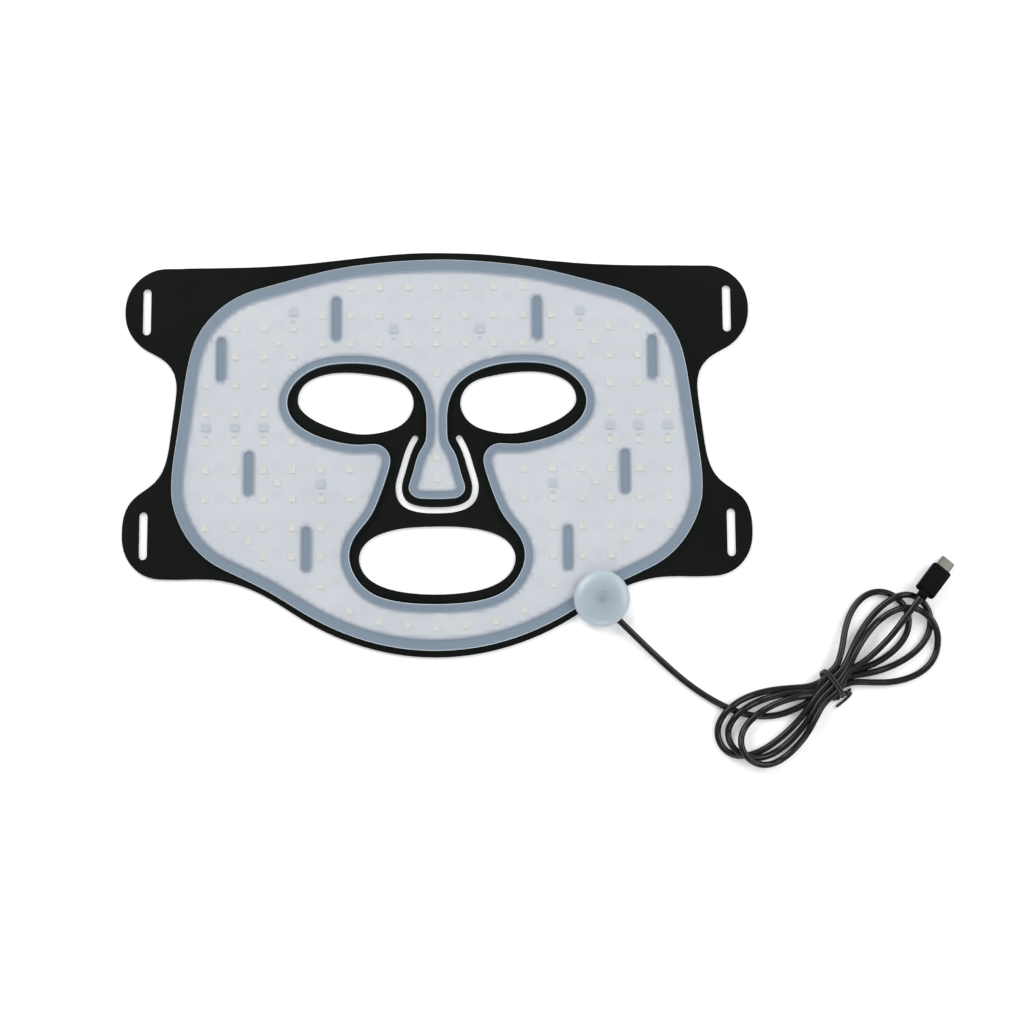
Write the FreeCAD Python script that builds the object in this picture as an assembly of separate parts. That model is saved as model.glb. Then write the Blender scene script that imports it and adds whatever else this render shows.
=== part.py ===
import FreeCAD, Part
import math
import os

# Flexible LED face mask lying flat, LED side up, with its tied USB-C lead. Millimetres.
# X runs across the face, Y from chin to forehead, Z up out of the LED side. The origin is on the
# table, under the middle of the mask's own box.

V = FreeCAD.Vector

# ---- driving dimensions -------------------------------------------------------------------------
SHEET_T = 2.0            # black silicone back sheet
BOARD_T = 0.4            # white flexible circuit
LED_SIDE = 3.5           # square LED package
LED_T = 0.9
PITCH = 16.0             # LED grid
ROOF_Z = 3.7             # underside of the cover over the circuit
COVER_Z = 4.7            # top of the translucent cover
RIM_W = 6.0              # solid rim of the cover round its outer edge
INNER_RIM_W = 4.4        # solid rim of the cover round the eyes, nose and mouth
CLEAR = 0.3              # clearance between the circuit and the cover's pocket
BEAD_GAP = 1.2           # from the cover's inner edge to the raised bead
BEAD_W = 1.2
BEAD_H = 0.5
FLEX_GAP = 0.25          # slit in the sheet at each tab's flex line
STRAP_SLOT_L = 26.4
STRAP_SLOT_W = 4.6
STRAP_X = 162.0
STRAP_YS = (80.5, -45.5)
NOSE_SLIT_W = 3.5
RELIEF_L = 24.0          # relief slots of the circuit, each filled by a post of the cover
RELIEF_W = 4.4
RELIEFS = ((56.0, 75.6), (120.0, 53.0), (104.0, -11.2), (72.0, -53.4))
CHIP_L = 4.9             # driver chip in its small-outline package
CHIP_W = 3.9
CHIP_Z = (0.1, 1.0)      # underside and top above the circuit
LEG_PITCH = 1.27
LEG_W = 0.4
LEG_SPAN = 6.0
RESISTOR_L = 2.0
RESISTOR_W = 1.25
RESISTOR_T = 0.5
RESISTOR_OFF = 5.2       # from the middle of its driver

POD = V(90.0, -82.0, 0)  # middle of the control pod
LUG_R = 14.8             # round lug of the sheet under the pod
POD_WALL_R = 14.3
POD_WALL_T = 1.3
POD_WALL_Z = 6.4
POD_FLOOR_T = 0.6
REST_R = 1.2             # four studs that carry the pod's board
REST_RING_R = 11.6
POD_BOARD_R = 12.6
POD_BOARD_Z = (3.8, 4.6)
SWITCH_SIDE = 6.0
SWITCH_TOP_Z = 7.4
SWITCH_WELL_Z = 6.0      # bottom of the well round the plunger
SWITCH_WELL_R = 1.8
PLUNGER_R = 1.7
PLUNGER_Z = (6.7, 8.3)
CHIP_SIDE = 4.0          # controller chip
CHIP_T = 0.9
INDICATOR = (1.6, 0.8, 0.6)
CAP_R = 15.4
CAP_T = 0.7
CAP_RIM_Z = 5.5
CAP_TOP_Z = 10.6
CAP_SHOULDER = 1.0       # straight skirt under the dome
CAP_DISH = 0.5           # shallow dish in the middle of the push cap
CAP_POST_R = 2.2
NOTCH_R = 14.9           # round notch of the cover beside the pod
PRESS = 0.5              # travel of the push cap

CORD_D = 3.6
GLAND_R = 2.05
GLAND_L = 7.5
CORE_R = 0.5
CORE_L = 2.2
CORE_Z = 5.2
CORE_OFF = 0.8           # each core's distance from the gland's axis
EXIT = V(99.9, -94.3, 4.5)      # where the cord leaves the gland
EXIT_DIR = V(1, -1, 0).normalize()
TIE = V(214.3, -129.0, 0)       # middle of the twist tie
HANK_ANGLE = 34.0               # the hank's length, from the X axis
HANK_H = 5.6                    # two layers of cord in the open loops
WAIST_L = 36.0                  # the thicker stretch at the tie
WAIST_W = 16.0                  # outside of the tie's band
WAIST_H = 9.0
TIE_W = 3.0
TIE_T = 0.9
TIE_END_W = 1.4
TIE_ENDS = ((-78, 12.0), (-50, 9.0))    # turn from the hank's length, and length, of each end
NECK = V(263.4, -82.7, 8.8)     # where the cord enters the plug's neck
PLUG_ANGLE = 50.0
PLUG_DROP = 14.0                # the plug leans down to the table
NECK_R = 3.0
NECK_L = 4.0
PLUG_L = 17.0
PLUG_W = 11.5
PLUG_H = 6.6
PLUG_FILLET = 2.2
SHELL_W = 8.34                  # USB type C plug shell
SHELL_H = 2.56
SHELL_OUT = 6.65
SHELL_IN = 3.0
SHELL_T = 0.3
SHELL_FILLET = 1.25
SHELL_MOUTH = 1.5               # the shell's solid back
LINER_END = 0.4                 # how far the liner stops behind the shell's mouth
LINER_BACK = 2.2
TONGUE_W = 6.2                  # opening for the socket's tongue
TONGUE_T = 0.9
CONTACTS = 12
CONTACT_PITCH = 0.5
CONTACT_L = 3.6
CONTACT_W = 0.25
CONTACT_T = 0.12
CONTACT_ZS = (-0.45, 0.33)

TRIM = 0.05              # how much nearer than its distance a widened outline may come

# ---- outlines: left half from the top centre to the bottom centre -------------------------------
SHEET_HALF = [
    (0, 113.25), (-25, 112.4), (-50, 109.9), (-75, 107.3), (-100, 105.8), (-130, 105.3), (-148, 105.1),
    (-156, 104.5), (-163, 101.4), (-169, 96), (-172.6, 89.5), (-174, 80.5), (-172.6, 71.5), (-169, 65),
    (-163.5, 59.7), (-157, 56), (-151.2, 52), (-147, 46.5), (-145, 39.5), (-145.2, 31), (-146.8, 17),
    (-148.4, 4), (-150.2, -5), (-153.4, -12.4), (-158.6, -18), (-165, -22.7), (-170.2, -28.4),
    (-173, -36), (-173.7, -44.5), (-172.7, -53), (-169.3, -60.3), (-163.8, -65.8), (-157, -68.8),
    (-150, -69.6), (-137, -69.7), (-124, -69.8), (-112, -72), (-98, -77.4), (-85.5, -84.6),
    (-73, -92.6), (-61, -99.1), (-48, -104.6), (-33, -109.2), (-17, -112.2), (0, -113.25)]
COVER_HALF = [
    (0, 108.7), (-30.9, 107.1), (-58.7, 103.2), (-92.6, 94.4), (-106, 90.3), (-117.9, 83.7),
    (-127.9, 73.9), (-134.7, 62.2), (-138.3, 48.8), (-140.8, 31.1), (-143.8, 8.2), (-146.3, -13.7),
    (-145.7, -27.1), (-141.3, -40.1), (-133.7, -51.9), (-123.4, -61.1), (-111, -67.6), (-92.6, -76.8),
    (-68.7, -91.3), (-56.2, -97.6), (-29.9, -106.4), (0, -109.7)]
OPENING_HALF = [
    (0, -26.2), (-4, -26.15), (-8.5, -25.95), (-11.5, -25.3), (-15.3, -21.5), (-14.1, -14.6),
    (-9.4, 0.2), (-6.4, 5.7), (-5.7, 11.4), (-6.6, 27.5), (-11.4, 37.5), (-24.5, 46.4),
    (-49.8, 50.2), (-73.4, 44.1), (-83, 29.3), (-81.2, 21.1), (-73.1, 12.8), (-56.8, 6.2), (-40.6, 4.2),
    (-31.4, 3.8), (-26.1, -2.1), (-26.8, -10.3), (-32.3, -26.5), (-37.1, -36.3), (-45.2, -46.9),
    (-48.3, -57.4), (-45, -68.6), (-36.9, -77.4), (-24.1, -82.3), (0, -84.3)]
MOUTH_HALF = [
    (0, -41.2), (-16, -41.8), (-29.5, -44.6), (-39.5, -50.5), (-43, -58.2), (-40.3, -67),
    (-30, -74.4), (-16, -77.8), (0, -78.8)]
LEFT_EYE = [
    (-77.4, 30.5), (-73.9, 38.5), (-63.5, 44), (-48, 45.4), (-30, 43), (-17.8, 38), (-13, 28),
    (-18, 17), (-29, 11.8), (-43, 10.5), (-60, 14.8), (-73.7, 22.6)]
NOSE_SLIT_HALF = [(-12.2, 8), (-16.2, -0.5), (-19, -10), (-21.2, -20), (-18.8, -27.3), (-11.5, -31.2)]
NOSE_SLIT_FOOT = (0, -32.2)

# Flex lines of the left tabs, each from its upper to its lower end, just outside the cover.
UPPER_FLEX = ((-128.0, 107.0), (-147.0, 41.0))
LOWER_FLEX = ((-157.0, -12.0), (-131.0, -72.0))
UPPER_REACH = (20, 130)         # heights of the face between which a tab's cut reaches
LOWER_REACH = (-90, -8)
OUTSIDE_X = -200

# LED grid: row height, then the first and last column away from the middle.
FOREHEAD_ROWS = ((93.5, 3), (77.5, 4), (61.5, 4))
CHEEK_ROWS = (
    (70.5, 5, 7), (54.5, 5, 7), (38.5, 6, 8), (22.5, 6, 8), (6.5, 5, 8), (-9.5, 3, 8),
    (-25.5, 3, 8), (-41.5, 4, 8), (-57.5, 4, 6), (-73.5, 4, 4))
CHEEK_EXTRAS = ((88.0, 62.5), (88.0, -16.5), (104.0, -48.5))
FOREHEAD_EXTRAS = ((0.0, 69.5), (0.0, 44.5))
NOSE_LEDS = ((0.0, -2.9), (0.0, -14.9))
CHIN_LEDS = ((0.0, -97.0), (16.0, -95.7), (32.0, -93.5), (48.0, -87.5))
DRIVERS = ((80.0, 79.5), (24.0, 69.5), (96.0, 14.5), (112.0, 14.5), (128.0, 14.5), (64.0, -17.5))

# Route of the cord's lead from the gland to the hank, and of its tail from the hank to the plug.
LEAD = [
    EXIT, V(107.2, -101.6, 4.5), V(119, -113, 2.4), V(133.5, -126.3, 1.8), V(148, -136.2, 1.8),
    V(163, -143.5, 1.8)]
TAIL = [V(230, -118.4, 7.4), V(238.5, -111.6, 7.4), V(248, -101.3, 7.4), V(256, -91.2, 7.6), NECK]
# The hank's outline, from its left end round its lower side, as (along, across) its length.
HANK_OUTLINE = [
    (-69, 3.3), (-64, -7.5), (-56, -14.7), (-46, -18), (-36, -17), (-24, -12.8), (-10, -8.4),
    (5, -9), (19, -14.8), (32.5, -19.5), (46, -21), (57, -18.3), (65, -12), (68.5, -3), (67.8, 8),
    (63, 17.2), (53.5, 25.3), (44.5, 28.6), (34.5, 27.1), (23.5, 21.3), (12, 12.4), (0, 7.8),
    (-11, 8.4), (-22.5, 12.6), (-38, 18), (-47, 20.2), (-57, 19.5), (-66.5, 12.5)]


# ---- helpers ------------------------------------------------------------------------------------
def mirrored(half):
    """A closed outline from its left half."""
    return half + [(-x, y) for x, y in reversed(half) if x < 0]


def closed_curve(points):
    curve = Part.BSplineCurve()
    curve.interpolate(Points=[V(x, y, 0) for x, y in points], PeriodicFlag=True)
    return curve


def face(points):
    """A flat face inside one smooth closed curve through the points."""
    return Part.Face(Part.Wire([closed_curve(points).toShape()]))


def widened(points, d):
    """The outline moved outwards by d, or inwards where d is negative. Corners too tight for the
    move lose the points that would come nearer than d to the outline."""
    curve = closed_curve(points)
    count = 4 * len(points)
    step = (curve.LastParameter - curve.FirstParameter) / count
    at = [curve.FirstParameter + step * i for i in range(count)]
    line = [curve.value(t) for t in at]
    moved = []
    for t in at:
        along = curve.tangent(t)[0]
        p = curve.value(t) + V(along.y, -along.x, 0) * d
        if min(p.distanceToPoint(q) for q in line) > abs(d) - TRIM:
            moved.append((p.x, p.y))
    return moved


def prism(flat, z0, z1):
    """The flat face raised from z0 to z1."""
    flat = flat.copy()
    flat.translate(V(0, 0, z0))
    return flat.extrude(V(0, 0, z1 - z0))


def box(cx, cy, lx, ly, z0, z1):
    return Part.makeBox(lx, ly, z1 - z0, V(cx - lx / 2, cy - ly / 2, z0))


def disc(centre, r, z0, z1):
    return Part.makeCylinder(r, z1 - z0, V(centre.x, centre.y, z0))


def slot(cx, cy, length, width, z0, z1):
    """A bar along Y with round ends."""
    r = width / 2
    half = length / 2 - r
    bar = box(cx, cy, width, 2 * half, z0, z1)
    for side in (-1, 1):
        bar = bar.fuse(disc(V(cx, cy + side * half, 0), r, z0, z1))
    return bar.removeSplitter()


def mirror_x(shape):
    return shape.mirror(V(0, 0, 0), V(1, 0, 0))


def both_sides(shapes):
    """The shapes and their mirror images across the middle of the face."""
    return shapes + [mirror_x(s) for s in shapes]


def group(solids):
    return Part.makeCompound(solids)


def save(node, shape):
    """Writes one node and reads it back, to see that its solids are whole."""
    path = "parts/" + node + ".step"
    shape.exportStep(path)
    back = Part.Shape()
    back.read(path)
    same = len(back.Solids) == len(shape.Solids) and abs(back.Volume / shape.Volume - 1) < 1e-3
    if not (same and all(s.isValid() for s in shape.Solids)):
        print("BAD SOLID", node, len(back.Solids), back.Volume)
    print(node, len(shape.Solids), "solid(s)", round(shape.Volume, 1), "mm3")


def route_tube(points, r):
    """A round tube along straight runs joined by tangent arcs, and the radii of the arcs."""
    edges = []
    radii = []
    start = points[0]
    for before, corner, after in zip(points, points[1:], points[2:]):
        a = (before - corner).normalize()
        b = (after - corner).normalize()
        turn = math.pi - a.getAngle(b)
        cut = 0.45 * min((before - corner).Length, (after - corner).Length)
        radius = cut / math.tan(turn / 2)
        radii.append(round(radius, 1))
        first = corner + a * cut
        last = corner + b * cut
        inward = (a + b).normalize()
        middle = corner + inward * (radius / math.cos(turn / 2) - radius)
        edges.append(Part.LineSegment(start, first).toShape())
        edges.append(Part.Arc(first, middle, last).toShape())
        start = last
    edges.append(Part.LineSegment(start, points[-1]).toShape())
    path = Part.Wire(edges)
    ring = Part.Wire([Part.makeCircle(r, points[0], points[1] - points[0])])
    tube = path.makePipeShell([ring], True, True)
    expected = math.pi * r * r * path.Length
    print("  tube", round(path.Length, 1), "mm long, radii", radii, "volume share",
          round(tube.Volume / expected, 4))
    return tube


# ---- the black back sheet and its tabs ----------------------------------------------------------
def nose_slit():
    """The U-shaped slit that lets the nose panel lift."""
    left = [V(x, y, -1) for x, y in NOSE_SLIT_HALF]
    right = [V(-p.x, p.y, -1) for p in reversed(left)]
    curve = Part.BSplineCurve()
    curve.interpolate(left + [V(NOSE_SLIT_FOOT[0], NOSE_SLIT_FOOT[1], -1)] + right)
    path = Part.Wire([curve.toShape()])
    along = curve.tangent(curve.FirstParameter)[0]
    side = V(-along.y, along.x, 0) * (NOSE_SLIT_W / 2)
    up = V(0, 0, SHEET_T + 3)
    corners = [left[0] - side, left[0] + side, left[0] + side + up, left[0] - side + up]
    section = Part.makePolygon(corners + corners[:1])
    slit = path.makePipeShell([section], True, False)
    for end in (left[0], right[-1]):
        slit = slit.fuse(disc(end, NOSE_SLIT_W / 2, -1, SHEET_T + 2))
    return slit


def whole_sheet():
    """The moulded sheet with its holes, the pod's lug and the raised bead, before it is divided."""
    opening = mirrored(OPENING_HALF)
    sheet = prism(face(mirrored(SHEET_HALF)), 0, SHEET_T)
    sheet = sheet.fuse(disc(POD, LUG_R, 0, SHEET_T)).removeSplitter()
    bead = prism(face(widened(opening, -BEAD_GAP)), SHEET_T - 1, SHEET_T + BEAD_H)
    bead = bead.cut(prism(face(widened(opening, -BEAD_GAP - BEAD_W)), 0, SHEET_T + 2))
    sheet = sheet.fuse(bead)
    holes = both_sides([prism(face(LEFT_EYE), -1, SHEET_T + 2)])
    holes.append(prism(face(mirrored(MOUTH_HALF)), -1, SHEET_T + 2))
    holes.append(nose_slit())
    for y in STRAP_YS:
        holes += both_sides([slot(-STRAP_X, y, STRAP_SLOT_L, STRAP_SLOT_W, -1, SHEET_T + 1)])
    for hole in holes:
        sheet = sheet.cut(hole)
    return sheet


def tab_region(line, low, high, shift):
    """Everything outside a flex line moved outwards by shift, between two heights of the face."""
    (x0, y0), (x1, y1) = line
    lean = (x1 - x0) / (y1 - y0)
    points = [V(x0 + lean * (y - y0) - shift, y, -1) for y in (low, high)]
    points += [V(OUTSIDE_X, high, -1), V(OUTSIDE_X, low, -1)]
    return Part.Face(Part.makePolygon(points + points[:1])).extrude(V(0, 0, SHEET_T + 3))


def sheet_parts():
    sheet = whole_sheet()
    parts = {}
    for name, line, reach in (("upper", UPPER_FLEX, UPPER_REACH), ("lower", LOWER_FLEX, LOWER_REACH)):
        keep_off = tab_region(line, *reach, 0)
        region = tab_region(line, *reach, FLEX_GAP)
        parts[name + "_left_tab"] = sheet.common(region)
        parts[name + "_right_tab"] = sheet.common(mirror_x(region))
        for cutter in both_sides([keep_off]):
            sheet = sheet.cut(cutter)
    parts["back_sheet"] = sheet
    return parts


# ---- the flexible circuit and what is soldered to it --------------------------------------------
def board_prism(spare, z0, z1):
    """The circuit's outline, or the cover's pocket where spare is the clearance round it."""
    outer = prism(face(widened(mirrored(COVER_HALF), spare - RIM_W)), z0, z1)
    inner = prism(face(widened(mirrored(OPENING_HALF), INNER_RIM_W - spare)), z0 - 1, z1 + 1)
    return outer.cut(inner)


def relief_slots(length, width, z0, z1):
    return both_sides([slot(-x, y, length, width, z0, z1) for x, y in RELIEFS])


def flex_board():
    top = SHEET_T + BOARD_T
    board = board_prism(0, SHEET_T, top)
    board = board.fuse(disc(POD, POD_WALL_R, SHEET_T, top)).removeSplitter()
    for hole in relief_slots(RELIEF_L + 1, RELIEF_W + 0.8, SHEET_T - 1, top + 1):
        board = board.cut(hole)
    return board


def led(x, y):
    """A square LED package with a round window sunk in its top."""
    z = SHEET_T + BOARD_T
    body = box(x, y, LED_SIDE, LED_SIDE, z, z + LED_T)
    return body.cut(Part.makeCone(1.1, 1.4, 0.3, V(x, y, z + LED_T - 0.3)))


def forehead_leds():
    spots = [(k * PITCH, y) for y, last in FOREHEAD_ROWS for k in range(-last, last + 1)]
    return group([led(x, y) for x, y in spots + list(FOREHEAD_EXTRAS)])


def left_cheek_leds():
    spots = [(k * PITCH, y) for y, first, last in CHEEK_ROWS for k in range(first, last + 1)]
    return group([led(-x, y) for x, y in spots + list(CHEEK_EXTRAS)])


def chin_leds():
    middle = [led(*CHIN_LEDS[0])]
    return group(middle + both_sides([led(-x, y) for x, y in CHIN_LEDS[1:]]))


def driver_chips():
    z = SHEET_T + BOARD_T
    chips = []
    for x, y in DRIVERS:
        chip = box(-x, y, CHIP_L, CHIP_W, z + CHIP_Z[0], z + CHIP_Z[1])
        for step in (-1.5, -0.5, 0.5, 1.5):
            chip = chip.fuse(box(-x + step * LEG_PITCH, y, LEG_W, LEG_SPAN, z, z + CHIP_Z[0]))
        chips.append(chip)
    return group(both_sides(chips))


def resistors():
    """Current-setting resistors, one beside each driver."""
    z = SHEET_T + BOARD_T
    chips = [box(-x, y - RESISTOR_OFF, RESISTOR_L, RESISTOR_W, z, z + RESISTOR_T) for x, y in DRIVERS]
    return group(both_sides(chips))


# ---- the translucent cover ----------------------------------------------------------------------
def front_cover():
    """Milky sheet with a pocket over the circuit, glued down round its rims and at its posts."""
    cover = prism(face(mirrored(COVER_HALF)), SHEET_T, COVER_Z)
    cover = cover.cut(prism(face(mirrored(OPENING_HALF)), SHEET_T - 1, COVER_Z + 1))
    cover = cover.cut(board_prism(CLEAR, SHEET_T - 1, ROOF_Z))
    cover = cover.cut(disc(POD, NOTCH_R, SHEET_T - 1, COVER_Z + 1))
    for post in relief_slots(RELIEF_L, RELIEF_W, SHEET_T, ROOF_Z):
        cover = cover.fuse(post)
    return cover.removeSplitter()


# ---- the control pod ----------------------------------------------------------------------------
def exit_axis(r, length):
    """A cylinder along the cord's exit that ends where the cord leaves the gland."""
    return Part.makeCylinder(r, length, EXIT - EXIT_DIR * length, EXIT_DIR)


def pod_base():
    """Round tray on the circuit's end, with a hole for the gland and four board rests."""
    z = SHEET_T + BOARD_T
    tray = disc(POD, POD_WALL_R, z, POD_WALL_Z)
    tray = tray.cut(disc(POD, POD_WALL_R - POD_WALL_T, z + POD_FLOOR_T, POD_WALL_Z + 1))
    for quarter in range(4):
        a = math.radians(90 * quarter)
        spot = POD + V(math.cos(a), math.sin(a), 0) * REST_RING_R
        tray = tray.fuse(disc(spot, REST_R, z + POD_FLOOR_T / 2, POD_BOARD_Z[0]))
    tray = tray.cut(exit_axis(GLAND_R, 2 * GLAND_L))
    return tray


def pod_board():
    """Small round board; a flat on it clears the gland."""
    board = disc(POD, POD_BOARD_R, *POD_BOARD_Z)
    far = EXIT - EXIT_DIR * (GLAND_L + 0.2)
    half_space = Part.makeBox(20, 40, 10, V(0, -20, 0))
    half_space.rotate(V(0, 0, 0), V(0, 0, 1), -45)
    half_space.translate(V(far.x, far.y, 0))
    return board.cut(half_space)


def cap_solid(offset, rim_z):
    """The cap's dome as a solid of revolution, its surface moved inwards by offset."""
    r = CAP_R - offset
    top = CAP_TOP_Z - offset
    shoulder_z = CAP_RIM_Z + CAP_SHOULDER
    rise = top - shoulder_z
    crown = Part.BSplineCurve()
    crown.interpolate(
        Points=[V(r, 0, shoulder_z), V(r * 0.95, 0, shoulder_z + rise * 0.5),
                V(r * 0.8, 0, shoulder_z + rise * 0.85), V(r * 0.55, 0, top),
                V(r * 0.25, 0, top - CAP_DISH * 0.6), V(0, 0, top - CAP_DISH)],
        InitialTangent=V(0, 0, 1), FinalTangent=V(-1, 0, 0))
    edges = [
        Part.LineSegment(V(0, 0, rim_z), V(r, 0, rim_z)).toShape(),
        Part.LineSegment(V(r, 0, rim_z), V(r, 0, shoulder_z)).toShape(),
        crown.toShape(),
        Part.LineSegment(V(0, 0, top - CAP_DISH), V(0, 0, rim_z)).toShape()]
    return Part.Face(Part.Wire(edges)).revolve(V(0, 0, 0), V(0, 0, 1), 360)


def button_cap():
    """Domed silicone push cap with a post that rests on the switch."""
    dome = cap_solid(0, CAP_RIM_Z).cut(cap_solid(CAP_T, CAP_RIM_Z - 1))
    foot_z = PLUNGER_Z[1]
    post = Part.makeCylinder(CAP_POST_R, CAP_TOP_Z - CAP_DISH - CAP_T - foot_z + 0.2, V(0, 0, foot_z))
    dome = dome.fuse(post)
    dome.translate(POD)
    return dome.cut(exit_axis(GLAND_R + PRESS + 0.3, GLAND_L))


def switch_body():
    block = box(POD.x, POD.y, SWITCH_SIDE, SWITCH_SIDE, POD_BOARD_Z[1], SWITCH_TOP_Z)
    return block.cut(disc(POD, SWITCH_WELL_R, SWITCH_WELL_Z, SWITCH_TOP_Z + 1))


def switch_plunger():
    return disc(POD, PLUNGER_R, *PLUNGER_Z)


def controller_chip():
    z = POD_BOARD_Z[1]
    return box(POD.x - 7.0, POD.y - 1.0, CHIP_SIDE, CHIP_SIDE, z, z + CHIP_T)


def indicator_led():
    length, width, height = INDICATOR
    z = POD_BOARD_Z[1]
    return box(POD.x + 1.0, POD.y + 5.6, length, width, z, z + height)


def cable_cores():
    """The cord's two insulated cores, from the gland to pads on the pod's board."""
    inner = EXIT - EXIT_DIR * GLAND_L
    across = V(1, 1, 0).normalize()
    cores = []
    for side in (-1, 1):
        start = V(inner.x, inner.y, CORE_Z) + across * (side * CORE_OFF)
        cores.append(Part.makeCylinder(CORE_R, CORE_L, start, EXIT_DIR * -1))
    return group(cores)


def cable_gland():
    return exit_axis(GLAND_R, GLAND_L)


# ---- the cord, its hank and its plug ------------------------------------------------------------
def hank_point(along, across):
    a = math.radians(HANK_ANGLE)
    return (TIE.x + along * math.cos(a) - across * math.sin(a),
            TIE.y + along * math.sin(a) + across * math.cos(a))


def waist_core():
    """The bundle that the tie's band holds."""
    return Part.makeBox(TIE_W + 2, WAIST_W - 2 * TIE_T, WAIST_H - 2 * TIE_T,
                        V(-TIE_W / 2 - 1, TIE_T - WAIST_W / 2, TIE_T))


def tie_band():
    """The tie's band round the hank's waist."""
    outer = Part.makeBox(TIE_W, WAIST_W, WAIST_H, V(-TIE_W / 2, -WAIST_W / 2, 0))
    return outer.cut(waist_core())


def place_on_hank(shape):
    shape.rotate(V(0, 0, 0), V(0, 0, 1), HANK_ANGLE)
    shape.translate(TIE)
    return shape


def cable_hank():
    """The outer shape of the three tied turns, heaped up and grooved where the tie holds them."""
    hank = prism(face([hank_point(a, b) for a, b in HANK_OUTLINE]), 0, HANK_H)
    heap = Part.makeBox(WAIST_L, WAIST_W - 2 * TIE_T, WAIST_H - TIE_T,
                        V(-WAIST_L / 2, TIE_T - WAIST_W / 2, 0))
    hank = hank.fuse(place_on_hank(heap))
    reach = 2 * WAIST_L
    groove = Part.makeBox(TIE_W, reach, reach, V(-TIE_W / 2, -reach / 2, -1))
    return hank.cut(place_on_hank(groove.cut(waist_core())))


def twist_tie():
    """A flat wire band with its two twisted ends lying on the table."""
    band = place_on_hank(tie_band())
    ends = []
    for turn, length in TIE_ENDS:
        end = Part.makeBox(length, TIE_END_W, TIE_T, V(0, -TIE_END_W / 2, 0))
        end.rotate(V(0, 0, 0), V(0, 0, 1), HANK_ANGLE + turn)
        x, y = hank_point(0, 0.5 - WAIST_W / 2)
        end.translate(V(x, y, 0))
        ends.append(end)
    return band.fuse(ends).removeSplitter()


def place_plug(shape):
    """From the plug's own axes, X out of its mouth, to where it lies."""
    shape.rotate(V(0, 0, 0), V(0, 1, 0), PLUG_DROP)
    shape.rotate(V(0, 0, 0), V(0, 0, 1), PLUG_ANGLE)
    shape.translate(NECK)
    return shape


def rounded_bar(x0, length, width, height, r):
    """A bar along the plug's X with rounded long edges."""
    bar = Part.makeBox(length, width, height, V(x0, -width / 2, -height / 2))
    long_edges = [e for e in bar.Edges if abs(e.Length - length) < 1e-6]
    return bar.makeFillet(r, long_edges)


def plug_overmould():
    body = rounded_bar(NECK_L, PLUG_L, PLUG_W, PLUG_H, PLUG_FILLET)
    neck = Part.makeCylinder(NECK_R, NECK_L + 1, V(0, 0, 0), V(1, 0, 0))
    mould = body.fuse(neck).removeSplitter()
    front = NECK_L + PLUG_L
    mould = mould.cut(rounded_bar(front - SHELL_IN, SHELL_IN + 1, SHELL_W, SHELL_H, SHELL_FILLET))
    return place_plug(mould)


def shell_hollow(length):
    """What fills the shell's mouth for a length from its solid back."""
    start = NECK_L + PLUG_L - SHELL_IN + SHELL_MOUTH
    return rounded_bar(
        start, length, SHELL_W - 2 * SHELL_T, SHELL_H - 2 * SHELL_T, SHELL_FILLET - SHELL_T)


def plug_shell():
    length = SHELL_IN + SHELL_OUT
    shell = rounded_bar(NECK_L + PLUG_L - SHELL_IN, length, SHELL_W, SHELL_H, SHELL_FILLET)
    return place_plug(shell.cut(shell_hollow(length)))


def plug_liner():
    """The moulded liner of the plug's mouth, open where the socket's tongue goes in."""
    length = SHELL_IN + SHELL_OUT - SHELL_MOUTH - LINER_END
    start = NECK_L + PLUG_L - SHELL_IN + SHELL_MOUTH + LINER_BACK
    opening = Part.makeBox(length, TONGUE_W, TONGUE_T, V(start, -TONGUE_W / 2, -TONGUE_T / 2))
    return place_plug(shell_hollow(length).cut(opening))


def plug_contacts():
    """Two rows of contact springs inside the liner's opening."""
    start = NECK_L + PLUG_L - SHELL_IN + SHELL_MOUTH + LINER_BACK
    springs = []
    for i in range(CONTACTS):
        y = (i - (CONTACTS - 1) / 2) * CONTACT_PITCH - CONTACT_W / 2
        for z in CONTACT_ZS:
            springs.append(Part.makeBox(CONTACT_L, CONTACT_W, CONTACT_T, V(start, y, z)))
    return place_plug(group(springs))


def main():
    os.makedirs("parts", exist_ok=True)
    for name, shape in sheet_parts().items():
        save(name, shape)
    save("flex_board", flex_board())
    save("forehead_leds", forehead_leds())
    save("left_cheek_leds", left_cheek_leds())
    save("right_cheek_leds", mirror_x(left_cheek_leds()))
    save("nose_leds", group([led(x, y) for x, y in NOSE_LEDS]))
    save("chin_leds", chin_leds())
    save("driver_chips", driver_chips())
    save("resistors", resistors())
    save("front_cover", front_cover())
    save("pod_base", pod_base())
    save("pod_board", pod_board())
    save("switch_body", switch_body())
    save("switch_plunger", switch_plunger())
    save("button_cap", button_cap())
    save("controller_chip", controller_chip())
    save("indicator_led", indicator_led())
    save("cable_gland", cable_gland())
    save("cable_cores", cable_cores())
    save("cable_lead", route_tube(LEAD, CORD_D / 2))
    save("cable_hank", cable_hank())
    save("cable_tail", route_tube(TAIL, CORD_D / 2))
    save("twist_tie", twist_tie())
    save("plug_overmould", plug_overmould())
    save("plug_shell", plug_shell())
    save("plug_liner", plug_liner())
    save("plug_contacts", plug_contacts())


main()
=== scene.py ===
import math

import bmesh
import bpy
import numpy as np
from mathutils import Matrix, Vector


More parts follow.
